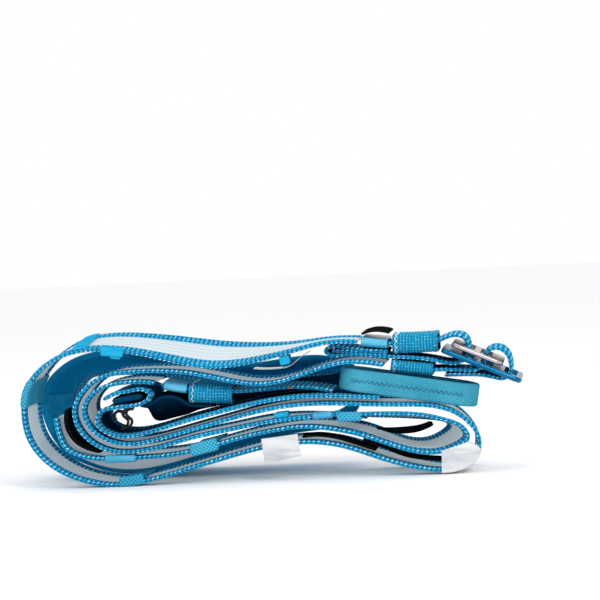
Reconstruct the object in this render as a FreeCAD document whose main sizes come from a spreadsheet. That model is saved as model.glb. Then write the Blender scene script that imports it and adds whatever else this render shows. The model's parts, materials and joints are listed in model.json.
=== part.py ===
import FreeCAD, Part

import math
import os

from FreeCAD import Placement, Rotation, Vector

# Folded webbing sit harness, lying as a flat bundle.
# X runs along the bundle, Y runs from the front edges of the straps to the back, Z is up.
# Every strap is drawn as a route in the XZ plane and has its width along Y.

doc = FreeCAD.newDocument("folded_harness")

# Driving dimensions in millimetres: alias, value, what it is.
DIMENSIONS = [
    ("front_y", -39.7, "front edge of the belts"),
    ("belt_width", 45.0, "width of the waist belt and the leg loop"),
    ("edge_width", 9.0, "width of a woven edge band"),
    ("belt_thick", 1.8, "thickness of the edge bands"),
    ("panel_thick", 1.2, "thickness of the mesh panel between the bands"),
    ("rear_loop_width", 36.0, "width of the rear leg loop"),
    ("strap_inset", 7.0, "buckle straps start this far behind the belt's front edge"),
    ("strap_width", 30.0, "width of the buckle straps"),
    ("strap_thick", 1.6, "thickness of the buckle straps"),
    ("patch_thick", 0.7, "thickness of a reinforcement patch"),
    ("label_thick", 0.5, "thickness of a care label"),
    ("riser_width", 14.0, "width of the black riser straps"),
    ("riser_thick", 1.3, "thickness of the black riser straps"),
    ("sleeve_wall", 1.1, "wall of a smooth sleeve"),
    ("wrap_lip", 0.7, "wall of a sleeve that wraps only an edge band"),
    ("wrap_clear", 0.1, "free height between such a sleeve and the band"),
    ("keeper_wall", 1.2, "wall of an elastic keeper"),
    ("seam_gap", 0.06, "gap between two pieces that are sewn face to face"),
    ("loop_length", 65.0, "belay loop, outside length"),
    ("loop_depth", 24.0, "belay loop, outside depth"),
    ("loop_thick", 2.6, "belay loop, thickness of the webbing"),
    ("loop_width", 10.6, "belay loop, width of the webbing"),
    ("frame_length", 39.5, "large buckle plate, length"),
    ("frame_width", 44.0, "large buckle plate, width"),
    ("frame_thick", 2.4, "large buckle plate, thickness"),
    ("slider_length", 25.4, "small buckle plate, length"),
    ("slider_width", 40.0, "small buckle plate, width"),
    ("slider_thick", 2.2, "small buckle plate, thickness"),
    ("slot_width", 6.2, "buckle slots, width along the plate"),
    ("slot_length", 33.0, "buckle slots, length across the plate"),
    ("plate_corner", 4.0, "corner radius of the buckle plates"),
    ("hook_ring", 3.2, "riser hook, outside radius of a ring"),
    ("hook_bore", 1.7, "riser hook, inside radius of a ring"),
    ("hook_thick", 2.6, "riser hook, thickness"),
]

sheet = doc.addObject("Spreadsheet::Sheet", "dimensions")
for row, (alias, value, meaning) in enumerate(DIMENSIONS, start=1):
    sheet.set("A%d" % row, meaning)
    sheet.set("B%d" % row, str(value))
    sheet.setAlias("B%d" % row, alias)
doc.recompute()

D = {alias: float(sheet.get(alias)) for alias, value, meaning in DIMENSIONS}

FRONT = D["front_y"]
REAR = FRONT + D["belt_width"]
STRAP_Y = (FRONT + D["strap_inset"], FRONT + D["strap_inset"] + D["strap_width"])
SAMPLE_STEP = 3.0       # spacing of the points that carry a strap's thickness
SLEEVE_SIDE = 0.3       # free width at each side of a strap inside a sleeve
FLOOR_DEPTH = 5.0       # depth of the block that presses the underside flat

sub_parts = []


# ---------------------------------------------------------------- strap routes
# A point is (x, z) at the front edge, or (x, z, dx, dz) where the rear edge
# stands dx, dz away from the front edge.

WAIST_ROUTE = [
    (40.5, 62.2), (26, 62.5), (10, 59.2, 0, 2), (-9, 55.2, 0, 6), (-26, 53.7, 0, 9),
    (-44.5, 57, 0, 8.5), (-64.5, 62, 0, 6), (-82, 64, 0, 4.5), (-97.5, 61.5, 0, 3), (-108.5, 55, 0, 1),
    (-115, 46), (-116.5, 36), (-115, 25), (-107.5, 13.5), (-96.5, 6), (-85, 2.0), (-74, 0.6),
    (-57.5, 2.6), (-39.5, 7), (-20, 12), (-1, 16), (16, 17), (33, 14.2), (48.5, 8.6), (64, 3.8),
    (76, 1.9, 0, -0.8), (86.5, 3.2, -1, -0.6), (93.8, 9, -2, 0), (94.8, 16, -3, 0),
    (91, 22.7, -3, 0), (84, 28.2, -2, 0), (73, 31.6), (59, 32.6), (41, 33.6), (24, 34.6),
    (11, 34.4), (-3, 32.8), (-21, 29), (-40.5, 24.4), (-56.5, 20.7), (-68, 19.5), (-78, 22),
    (-85.5, 28.2), (-88, 36.5), (-83.5, 43.6), (-75.5, 47.2), (-65, 48.2), (-54.5, 47.4),
]

LEG_ROUTE = [
    (-101.5, 33), (-100.5, 26), (-97.5, 19), (-90, 14.7), (-80, 13), (-62.5, 13), (-48.5, 13.6),
    (-33.5, 16), (-15, 20.3), (3, 23.4), (13, 24.2, 0, 0), (24, 23.2, 0, 0.6), (40, 19.5, -1, 2),
    (54, 14.4, -3, 2.5), (66, 10.7, -5, 2.5), (76, 10, -7, 3), (84.5, 12.2, -9, 3.5),
    (90, 16.4, -11, 2.5), (88.2, 20.6, -10, 0), (81, 24.6, -8, -2.5), (71, 27.4, -5, -4.5),
    (57, 28.9, -2, -5), (41, 29.3, 0, -4.4), (26, 29.4, 0, -3), (12, 28.6, 0, -1.2), (-4, 26.9),
    (-22, 24), (-39.5, 20.9), (-54.5, 17.3), (-66.5, 15.9), (-77, 17), (-85.5, 21.5), (-91, 28.5),
    (-92.5, 36), (-89.5, 43), (-84, 48.4), (-76, 51.9), (-64.5, 53), (-50.5, 52.7), (-36.5, 51),
    (-23, 47.8), (-10, 45.2), (2, 45.3), (14, 48.2), (25.5, 51.6), (37, 53.2), (47, 52.2),
    (52.5, 51.1),
]

INNER_ROUTE = [
    (50, 36.2), (38, 37.2), (24, 38.1), (9, 38), (-7, 36.2), (-26, 32.4), (-45.5, 27.8),
    (-58.5, 24.4), (-70, 23.2), (-78, 25.4), (-82, 30), (-80.5, 34.6), (-74.5, 36.6),
    (-66, 37.2), (-59, 39), (-56.5, 42), (-59.5, 44.5), (-65.5, 44.3), (-73.5, 43), (-78.5, 40.6),
]

# The rear leg loop narrows towards the back. Here a point is (x, z) of its own front edge, and how
# far its rear edge stands from there.
REAR_LOOP_EDGES = [
    (37.8, 42.5, -4.3, -5), (35.5, 47.3, -3.3, -6.3), (28, 51.5, -2, -8.9), (15, 53.6, 0, -11.6),
    (2, 52.6, 0, -12), (-18, 50.8, 0, -11), (-41.5, 53.8, 0, -11), (-62.5, 58.4, 0, -13),
    (-81, 60.3, 3, -13), (-95.5, 58.2, 7, -11), (-106, 52.8, 10, -6), (-113, 45, 12, -3),
    (-115, 36, 12, 0), (-113, 25.5, 11, 3), (-106.5, 14.8, 8, 4), (-95.5, 7.8, 3, 4),
    (-84.5, 4, 0, 3), (-74, 2.8, 0, 3), (-57.5, 4.5, 0, 3), (-39.5, 8.9, 0, 2.5),
    (-20, 13.9, 0, 2.5), (-1, 18, 0, 2.5), (12, 19.6, 0, 2.5), (22, 20.8, -1, 2.5), (31, 24.5, -2.5, 2),
    (36.5, 31, -3.5, -1), (38, 38.8, -4, -3.3),
]

# The lining strap's points are given in the same way.
LINING_STRAP_EDGES = [
    (-60, 36.4, -0.5, -7), (-56.3, 38.4, -1, -11), (-52, 40.3, 0, -12), (-46.5, 40.2, 0, -10.7),
    (-43, 38.3, 0, -7.9), (-39.5, 36, 0, -4.2), (-34, 35.2, 0, -2.3), (-28.5, 35, 0, -1.1),
]

LEG_STRAP_ROUTE = [
    (-52, 46.2), (-42, 44), (-29, 42.2), (-15, 41.4), (-2.5, 41.9), (9, 42.3), (19, 41.4),
    (28, 39.6),
]

BUCKLE_STRAP_ROUTE = [
    (42, 62.1), (49, 61.2), (57, 60.2), (67.5, 59.4), (76, 60.2), (81, 62.1), (86, 63.1), (90, 61.5),
    (91.4, 57.6), (90.7, 53.2), (87.5, 50.6), (83, 50.3), (77, 51.6), (69.5, 53.1), (57, 54.4),
    (46, 55.4), (33, 56.1), (27.2, 56.7), (25.4, 58.4), (27.6, 60.1), (35, 59.5), (46, 57.7),
    (54.5, 56.9),
]

ADJUSTER_ROUTE = [
    (80, 44.9), (88, 44.8), (96, 44.3), (103, 42.8), (107.5, 42.3), (110.2, 44.8),
    (110.6, 49), (109.6, 52.8), (106.6, 55.7), (102.8, 56.2), (99.8, 54.6), (98.8, 51.4),
    (97.9, 48.8), (95.2, 47), (90, 46.8), (80.5, 47.4), (73, 47.7), (66, 48.7), (57, 50.2),
]

LOWER_RISER_ROUTE = [(13, 19.3), (21, 19.6), (31, 17.6), (39.5, 14.6), (47, 11.8)]
UPPER_RISER_ROUTE = [(41, 16.8), (51, 13), (60, 8.9), (69, 7), (77, 6.2)]
CROSS_STRAP_FRONT_EDGES = [(47, 21, 0, 0), (58, 20.8, 0, -3), (66, 21.4, 0, -3), (73, 22.8, 0, -1.5)]
CROSS_STRAP_REAR_EDGES = [(59, 18.6, 0, -1), (65, 20, 0, -2.5), (71.5, 22, 0, -2)]
ELASTIC_ROUTE = [(-96.5, 36.5), (-97, 28.5), (-93, 21.4), (-86.5, 17.6), (-81.5, 16.4)]
FOLD_LINING_ROUTE = [(-74.5, 39.6), (-70, 40.3), (-65, 40.9), (-60.5, 41.4)]
TUCK_ROUTE = [(42.5, 65.5), (46.5, 66.7), (51, 66.7), (55.5, 65.6)]
FILM_ROUTE = [(-8, 52.1), (3, 51.6), (9, 52.6), (14.5, 56.6), (18.5, 58.8)]


# ---------------------------------------------------------------- strap tools

def route_curve(route, y):
    """The smooth line of a route at depth y, leaning towards the rear edge where it says so.

    Every depth shares the front edge's parameters, so points across the width stay in step.
    """
    share = (y - FRONT) / D["belt_width"]
    points = []
    parameters = [0.0]
    for point in route:
        x, z = point[0], point[1]
        dx, dz = point[2:4] if len(point) == 4 else (0, 0)
        points.append(Vector(x + dx * share, y, z + dz * share))
    for first, second in zip(route, route[1:]):
        parameters.append(parameters[-1] + math.hypot(second[0] - first[0], second[1] - first[1]))
    curve = Part.BSplineCurve()
    curve.interpolate(Points=points, Parameters=parameters)
    return curve


def leaning(edges, depth):
    """The route of a strap whose points are given at its own front edge, with their shift over its
    own width."""
    start = (depth[0] - FRONT) / D["belt_width"]
    width = (depth[1] - depth[0]) / D["belt_width"]
    route = []
    for x, z, dx, dz in edges:
        lean_x, lean_z = dx / width, dz / width
        route.append((x - lean_x * start, z - lean_z * start, lean_x, lean_z))
    return route


def place_on(route, x, z, y=FRONT):
    """Distance along the front edge of a route to the point that is nearest to x, z at depth y."""
    front = route_curve(route, FRONT)
    return front.length(front.FirstParameter, route_curve(route, y).parameter(Vector(x, y, z)))


def thickness_points(route, y, start, stop, offset, count):
    """Points along the route at depth y, moved by offset towards its left side."""
    front = route_curve(route, FRONT)
    curve = route_curve(route, y)
    points = []
    for index in range(count):
        along = start + (stop - start) * index / (count - 1)
        parameter = front.parameterAtDistance(along, front.FirstParameter)
        point = curve.value(parameter)
        tangent = curve.tangent(parameter)[0]
        left = Vector(-tangent.z, 0, tangent.x).normalize()
        points.append(point + left * offset)
    return points


def side_edges(points, per_edge=8):
    """One smooth curve through the points, as a chain of short edges."""
    curve = Part.BSplineCurve()
    curve.interpolate(Points=points, Parameters=[float(index) for index in range(len(points))])
    edges = []
    starts = list(range(0, len(points) - 1, per_edge))
    for start in starts:
        stop = min(start + per_edge, len(points) - 1)
        piece = curve.copy()
        piece.segment(start, stop)
        edges.append(piece.toShape())
    return edges


def strap_profile(route, y, start, stop, thick, offset, count):
    """Closed outline of a strap's edge at depth y."""
    left_points = thickness_points(route, y, start, stop, offset + thick / 2, count)
    right_points = thickness_points(route, y, start, stop, offset - thick / 2, count)
    first_end = Part.LineSegment(right_points[0], left_points[0]).toShape()
    last_end = Part.LineSegment(left_points[-1], right_points[-1]).toShape()
    edges = [first_end] + side_edges(left_points) + [last_end] + side_edges(right_points)[::-1]
    return Part.Wire(edges)


def strap_shape(route, depth, thick, span=None, offset=0.0, step=SAMPLE_STEP):
    """Solid strap along part of a route, between two depths."""
    front = route_curve(route, FRONT)
    start, stop = span or (0.0, front.length())
    count = max(4, int((stop - start) / step) + 1)
    profiles = [strap_profile(route, y, start, stop, thick, offset, count) for y in depth]
    return Part.makeLoft(profiles, True, True)


def add_shape(label, shape):
    """One sub-part whose shape is made by the functions above."""
    feature = doc.addObject("Part::Feature", label)
    feature.Label = label
    feature.Shape = shape
    feature.Placement = Placement(Vector(0, 0, 0), Rotation())
    sub_parts.append(feature)
    return feature


def add_strap(label, route, depth, thick, span=None, offset=0.0, step=SAMPLE_STEP):
    return add_shape(label, strap_shape(route, depth, thick, span, offset, step))


def add_sleeve(label, route, depth, strap_thick, span, wall, room):
    """A tube around a strap: room is the free height above and below the strap inside it."""
    inner_thick = strap_thick + 2 * room
    inner_depth = (depth[0] - SLEEVE_SIDE, depth[1] + SLEEVE_SIDE)
    outer_depth = (inner_depth[0] - wall, inner_depth[1] + wall)
    outer = strap_shape(route, outer_depth, inner_thick + 2 * wall, span)
    longer = (span[0] - 1.0, span[1] + 1.0)
    inner = strap_shape(route, inner_depth, inner_thick, longer)
    add_shape(label, outer.cut(inner))


def pressed_flat(shape):
    """Take off what would reach below the surface that the bundle lies on."""
    box = shape.BoundBox
    block = Part.makeBox(box.XLength, box.YLength, FLOOR_DEPTH, Vector(box.XMin, box.YMin, -FLOOR_DEPTH))
    return shape.cut(block)


# ---------------------------------------------------------------- belts

def add_belt(prefix, route, lies_on_floor=False, step=SAMPLE_STEP):
    """A belt is a mesh panel between two woven edge bands, sewn edge to edge."""
    edge = D["edge_width"]
    layers = [
        ("edge_front", (FRONT, FRONT + edge), D["belt_thick"]),
        ("panel", (FRONT + edge, REAR - edge), D["panel_thick"]),
        ("edge_rear", (REAR - edge, REAR), D["belt_thick"]),
    ]
    for name, depth, thick in layers:
        shape = strap_shape(route, depth, thick, step=step)
        if lies_on_floor:
            shape = pressed_flat(shape)
        add_shape(prefix + "_" + name, shape)


add_belt("waist_belt", WAIST_ROUTE, lies_on_floor=True)
add_belt("leg_loop", LEG_ROUTE)
add_belt("inner_loop", INNER_ROUTE, step=2.0)

# The rear leg loop is a closed band behind the belts, so its mesh and its patch lie inside it.
rear_loop_y = REAR + 0.6
rear_edge_y = rear_loop_y + D["rear_loop_width"] - D["edge_width"]
rear_route = leaning(REAR_LOOP_EDGES, (rear_loop_y, rear_edge_y + D["edge_width"]))
add_strap("rear_loop_webbing", rear_route, (rear_loop_y, rear_edge_y), D["panel_thick"])
add_strap("rear_loop_edge", rear_route, (rear_edge_y, rear_edge_y + D["edge_width"]), D["belt_thick"])
inner_face = (D["panel_thick"] + D["patch_thick"]) / 2 + D["seam_gap"]
mesh_span = (place_on(rear_route, -98, 9.6, rear_loop_y), place_on(rear_route, -40, 8.6, rear_loop_y))
add_strap("lumbar_mesh", rear_route, (rear_loop_y, rear_edge_y - 1), D["patch_thick"], mesh_span,
          inner_face)
patch_span = (place_on(rear_route, -112.6, 41, rear_loop_y), place_on(rear_route, -108, 19, rear_loop_y))
add_strap("lining_patch", rear_route, (rear_loop_y + 2, rear_edge_y - 2), D["patch_thick"], patch_span,
          inner_face)


# ---------------------------------------------------------------- buckle straps and small straps

add_strap("leg_strap", LEG_STRAP_ROUTE, STRAP_Y, D["strap_thick"])
add_strap("buckle_strap", BUCKLE_STRAP_ROUTE, STRAP_Y, D["strap_thick"], step=1.5)
add_strap("adjuster_strap", ADJUSTER_ROUTE, STRAP_Y, D["strap_thick"], step=1.5)

riser_y = (FRONT + 4, FRONT + 4 + D["riser_width"])
add_strap("lower_riser", LOWER_RISER_ROUTE, riser_y, D["riser_thick"])
add_strap("upper_riser", UPPER_RISER_ROUTE, riser_y, D["riser_thick"])
for label, edges, depth, thick in (
        ("cross_strap_front", CROSS_STRAP_FRONT_EDGES, (-24, -17), D["riser_thick"]),
        ("cross_strap_rear", CROSS_STRAP_REAR_EDGES, (-11, -4), D["riser_thick"]),
        ("lining_strap", LINING_STRAP_EDGES, (-30, -4), D["panel_thick"])):
    add_strap(label, leaning(edges, depth), depth, thick)
add_strap("fold_lining", FOLD_LINING_ROUTE, (FRONT + 1.5, REAR - 1.5), 3.0)
add_strap("gear_elastic", ELASTIC_ROUTE, (FRONT + 5, FRONT + 19), 2.2)
add_strap("tucked_tail", TUCK_ROUTE, STRAP_Y, 1.2)
add_strap("edge_film", FILM_ROUTE, (FRONT + 1, FRONT + 12), 0.5)


# ---------------------------------------------------------------- sleeves and keepers

for label, route, first, last in (
        ("waist_sleeve", BUCKLE_STRAP_ROUTE, (42.3, 62), (54.3, 60.6)),
        ("inner_sleeve", LEG_STRAP_ROUTE, (-50.5, 46), (-40, 43.8))):
    add_sleeve(label, route, STRAP_Y, D["strap_thick"], (place_on(route, *first), place_on(route, *last)),
               D["sleeve_wall"], 0.4)


def add_wrap(label, route, first, last):
    """A sleeve that covers only a belt's front band: two lips joined round the front edge."""
    lip = D["wrap_lip"]
    clear = D["wrap_clear"]
    span = (place_on(route, *first), place_on(route, *last))
    longer = (span[0] - 1.0, span[1] + 1.0)
    inner_thick = D["belt_thick"] + 2 * clear
    inner_front = FRONT - 3 * clear
    outer = strap_shape(route, (inner_front - lip, FRONT + D["edge_width"]), inner_thick + 2 * lip, span)
    inner = strap_shape(route, (inner_front, FRONT + D["edge_width"] + 1), inner_thick, longer)
    wrap = outer.cut(inner)
    wrap.fixTolerance(0.001)
    add_shape(label, wrap)


add_wrap("lower_sleeve", LEG_ROUTE, (-79, 13), (-65, 13))
add_wrap("upper_sleeve", LEG_ROUTE, (27.5, 29.4), (19, 29.1))

add_sleeve("waist_keeper", [(56, 60.2), (67, 60), (80, 60.3)], STRAP_Y, D["strap_thick"],
           (0.6, 21.4), D["keeper_wall"], 2.2)
add_sleeve("leg_keeper", [(-42, 42.0), (-28, 40.8), (-14, 40), (0, 39.4)], STRAP_Y, D["strap_thick"],
           (3.0, 23.0), D["keeper_wall"], 2.6)
add_sleeve("rear_keeper", [(48, 51.6), (55, 50.4), (66, 48.9), (74, 47.8), (82, 46.6)], STRAP_Y,
           D["belt_thick"], (7.5, 27.0), D["keeper_wall"] * 0.8, 0.9)


# ---------------------------------------------------------------- patches, tabs, labels

def on_belt(route, first, last, depth, thick, side, label, base_thick=D["belt_thick"]):
    """A flat piece sewn to one face of a belt: side is +1 for the left face, -1 for the right."""
    offset = side * (base_thick / 2 + thick / 2 + D["seam_gap"])
    span = (place_on(route, *first), place_on(route, *last))
    add_strap(label, route, depth, thick, span, offset)


full_width = (FRONT + 0.5, REAR - 0.5)
on_belt(WAIST_ROUTE, (-111, 50), (-114.5, 38.5), full_width, D["patch_thick"], 1, "patch_side")
on_belt(WAIST_ROUTE, (-73, 1), (-61, 2), full_width, D["patch_thick"], 1, "patch_bottom")
on_belt(LEG_ROUTE, (-38.5, 15), (-26, 17.5), full_width, D["patch_thick"], 1, "patch_lower_leg")
on_belt(LEG_ROUTE, (41, 29.3), (30, 29.4), full_width, D["patch_thick"], 1, "patch_upper_leg")

tab_depth = (FRONT + 0.4, FRONT + 10)
on_belt(WAIST_ROUTE, (-85.5, 63.8), (-92.5, 63), full_width, 0.7, -1, "tab_shoulder")
on_belt(WAIST_ROUTE, (-69, 62.8), (-74, 63.6), tab_depth, 2.6, 1, "tab_ring")
on_belt(WAIST_ROUTE, (8.5, 58.8), (4, 57.6), tab_depth, 3.0, 1, "tab_top")
on_belt(LEG_ROUTE, (7.5, 28.4), (1, 27.6), tab_depth, 2.2, -1, "tab_middle")
on_belt(LEG_ROUTE, (17.6, 29), (14.6, 28.8), tab_depth, 0.9, 1, "tab_wrap")
on_belt(LEG_ROUTE, (31.5, 29.4), (28.8, 29.4), tab_depth, 1.1, -1, "tab_tack")

# The side label is folded round the right fold's front edges: a strip under the belt, and a flap
# that stands in front of both belts.
LABEL_FLAP_TOP = ((93.6, 12.6), (90.5, 14.6), (78, 10.5))
label_first = place_on(WAIST_ROUTE, 77, 2)
label_last = place_on(WAIST_ROUTE, 94.2, 11)
label_offset = -(D["belt_thick"] / 2 + D["label_thick"] / 2 + D["seam_gap"])
flap_y = FRONT - 0.3 - D["label_thick"]


def side_label():
    strip_depth = (flap_y, FRONT + 24)
    strip = strap_shape(WAIST_ROUTE, strip_depth, D["label_thick"], (label_first, label_last), label_offset)
    foot = thickness_points(WAIST_ROUTE, flap_y, label_first, label_last, label_offset, 12)
    corners = [foot[-1]] + [Vector(x, flap_y, z) for x, z in LABEL_FLAP_TOP] + [foot[0]]
    edges = side_edges(foot)
    for first, second in zip(corners, corners[1:]):
        edges.append(Part.LineSegment(first, second).toShape())
    flap = Part.Face(Part.Wire(edges)).extrude(Vector(0, D["label_thick"], 0))
    return strip.fuse(flap)


add_shape("care_label_side", side_label())

# The front label hangs down over the front edges, a little crumpled: its wavy top edge lies
# close to the belts and its foot stands forward.
LABEL_X = (-5.2, -1.0, 3.2, 7.4, 11.4)
LABEL_TOP = 21.2
LABEL_DROP = 11.8
LABEL_LEAN = ((0.0, 0.5), (0.5, 1.3), (1.0, 0.8))     # share of the drop, distance forward
LABEL_WAVE = 0.35


def label_section(z, forward, wave):
    """Level section through the label, wavy along X."""
    thick = D["label_thick"]
    y = FRONT - forward - thick
    sides = []
    for depth in (y, y + thick):
        curve = Part.BSplineCurve()
        curve.interpolate([Vector(x, depth - wave * (index % 2), z) for index, x in enumerate(LABEL_X)])
        sides.append(curve)
    first, last = [Part.LineSegment(sides[0].value(at), sides[1].value(at))
                   for at in (sides[0].FirstParameter, sides[0].LastParameter)]
    return Part.Wire([sides[0].toShape(), last.toShape(), sides[1].toShape(), first.toShape()])


def hanging_label():
    sections = []
    for share, forward in LABEL_LEAN:
        sections.append(label_section(LABEL_TOP - LABEL_DROP * share, forward, LABEL_WAVE * (0.5 + share)))
    return Part.makeLoft(sections, True, True)


add_shape("care_label_front", hanging_label())


# ---------------------------------------------------------------- bound solids

def bound(kind, name, sizes, place=None):
    """A Part primitive whose sizes are bound to the sheet."""
    item = doc.addObject("Part::" + kind, name)
    for prop, expression in sizes.items():
        item.setExpression(prop, expression)
    if place is not None:
        item.Placement = place
    return item


def combined(kind, name, base, tool):
    item = doc.addObject("Part::" + kind, name)
    item.Base = base
    item.Tool = tool
    return item


def cell(alias):
    return "dimensions." + alias


def slotted_plate(label, prefix, slot_starts, place):
    """A flat plate with rounded corners and slots across it."""
    plate = bound("Box", label + "_blank", {
        "Length": cell(prefix + "_length"), "Width": cell(prefix + "_width"), "Height": cell(prefix + "_thick")})
    doc.recompute()
    rounded = doc.addObject("Part::Fillet", label + "_rounded")
    rounded.Base = plate
    upright = [index for index, edge in enumerate(plate.Shape.Edges, start=1)
               if abs(edge.Vertexes[0].Z - edge.Vertexes[-1].Z) > 0.5]
    rounded.Edges = [(index, D["plate_corner"], D["plate_corner"]) for index in upright]
    result = rounded
    side = (D[prefix + "_width"] - D["slot_length"]) / 2
    for number, start in enumerate(slot_starts, start=1):
        slot = bound("Box", "%s_slot_%d" % (label, number), {
            "Length": cell("slot_width") + (" * 0.9" if prefix == "slider" else ""),
            "Width": cell("slot_length"), "Height": cell(prefix + "_thick") + " + 2"})
        slot.Placement = Placement(Vector(start, side, -1), Rotation())
        result = combined("Cut", "%s_cut_%d" % (label, number), result, slot)
    doc.recompute()
    edges = doc.addObject("Part::Fillet", label)
    edges.Base = result
    # The long outer edges are eased so that the webbing turns over a round bar.
    outer = []
    for index, edge in enumerate(result.Shape.Edges, start=1):
        box = edge.BoundBox
        at_end = min(box.XMin, D[prefix + "_length"] - box.XMax) < 0.01
        if at_end and box.XLength < 0.01 and box.YLength > 5:
            outer.append(index)
    ease = D[prefix + "_thick"] * 0.42
    edges.Edges = [(index, ease, ease) for index in outer]
    edges.Label = label
    edges.Placement = place
    sub_parts.append(edges)
    return edges


plate_tilt = 24.0       # the buckle lies tipped down towards its free end
frame_y = FRONT + D["strap_inset"] + D["strap_width"] / 2 - D["frame_width"] / 2
slider_y = FRONT + D["strap_inset"] + D["strap_width"] / 2 - D["slider_width"] / 2
tipped = Rotation(Vector(0, 1, 0), plate_tilt)
slotted_plate("buckle_frame", "frame", (9.2, 18.6, 30.4), Placement(Vector(78.8, frame_y, 55.9), tipped))
slotted_plate("buckle_slider", "slider", (5.2, 13.6), Placement(Vector(83.6, slider_y, 58.3), tipped))

# Belay loop: a flat ring of webbing that stands on its edge.
loop_tilt = 10.0


def ring_blank(name, length, depth, radius_share=0.49):
    blank = bound("Box", name + "_box", {
        "Length": length, "Width": depth, "Height": cell("loop_width")})
    doc.recompute()
    rounded = doc.addObject("Part::Fillet", name)
    rounded.Base = blank
    radius = blank.Width.Value * radius_share
    upright = [index for index, edge in enumerate(blank.Shape.Edges, start=1)
               if abs(edge.Vertexes[0].Z - edge.Vertexes[-1].Z) > 0.5]
    rounded.Edges = [(index, radius, radius) for index in upright]
    return rounded


loop_outer = ring_blank("loop_outer", cell("loop_length"), cell("loop_depth"))
loop_inner = ring_blank("loop_inner", cell("loop_length") + " - 2 * " + cell("loop_thick"),
                        cell("loop_depth") + " - 2 * " + cell("loop_thick"))
loop_inner.Placement = Placement(Vector(D["loop_thick"], D["loop_thick"], 0), Rotation())
belay_loop = combined("Cut", "belay_loop", loop_outer, loop_inner)
belay_loop.Label = "belay_loop"
belay_loop.Placement = Placement(Vector(30.2, FRONT + 1.5, 40.7), Rotation(Vector(0, 1, 0), loop_tilt))
sub_parts.append(belay_loop)

# Riser hook: a ring at each end of a short bar, the lower ring open at one side.
hook_place = Placement(Vector(-69, -24, 30), Rotation(Vector(1, 0, 0), 90))
hook_sizes = {"Radius": cell("hook_ring"), "Height": cell("hook_thick")}
hook_bore_sizes = {"Radius": cell("hook_bore"), "Height": cell("hook_thick") + " + 2"}
upper_ring = bound("Cylinder", "hook_upper_ring", hook_sizes, Placement(Vector(0.8, 2.1, 0), Rotation()))
lower_ring = bound("Cylinder", "hook_lower_ring", hook_sizes, Placement(Vector(-0.8, -2.1, 0), Rotation()))
rings = combined("Fuse", "hook_rings", upper_ring, lower_ring)
upper_place = Placement(Vector(0.8, 2.1, -1), Rotation())
lower_place = Placement(Vector(-0.8, -2.1, -1), Rotation())
upper_bore = bound("Cylinder", "hook_upper_bore", hook_bore_sizes, upper_place)
lower_bore = bound("Cylinder", "hook_lower_bore", hook_bore_sizes, lower_place)
one_bore = combined("Cut", "hook_one_bore", rings, upper_bore)
two_bores = combined("Cut", "hook_two_bores", one_bore, lower_bore)
mouth = bound("Box", "hook_mouth", {
    "Length": cell("hook_ring") + " * 1.2", "Width": cell("hook_bore"), "Height": cell("hook_thick") + " + 2"},
    Placement(Vector(-5.2, -3.2, -1), Rotation()))
hook = combined("Cut", "riser_hook", two_bores, mouth)
hook.Label = "riser_hook"
hook.Placement = hook_place
sub_parts.append(hook)

# Coloured wear thread on the front edge of the leg strap.
wear_sizes = {"Radius": cell("strap_thick") + " * 0.45", "Height": cell("strap_thick") + " * 0.5"}
wear = bound("Cylinder", "wear_thread", wear_sizes)
wear.Placement = Placement(Vector(8.4, STRAP_Y[0] - D["seam_gap"], 42.3), Rotation(Vector(1, 0, 0), 90))
wear.Label = "wear_thread"
sub_parts.append(wear)


# ---------------------------------------------------------------- check and write

doc.recompute()
for item in doc.Objects:
    if "Invalid" in item.State or "Error" in item.State:
        raise RuntimeError("%s failed: %s" % (item.Label, item.State))

os.makedirs("parts", exist_ok=True)
for item in sub_parts:
    if item.Shape.isNull() or not item.Shape.isValid():
        raise RuntimeError("%s has no valid shape" % item.Label)
    if len(item.Shape.Solids) != 1:
        raise RuntimeError("%s is %d solids" % (item.Label, len(item.Shape.Solids)))
    item.Shape.exportStep("parts/%s.step" % item.Label)
    box = item.Shape.BoundBox
    print("%-20s %8.0f mm3  x %6.1f..%6.1f  y %6.1f..%6.1f  z %5.1f..%5.1f" % (
        item.Label, item.Shape.Volume, box.XMin, box.XMax, box.YMin, box.YMax, box.ZMin, box.ZMax))
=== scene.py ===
import json
import math

import bpy
import numpy as np
from mathutils import Matrix, Vector


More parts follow.
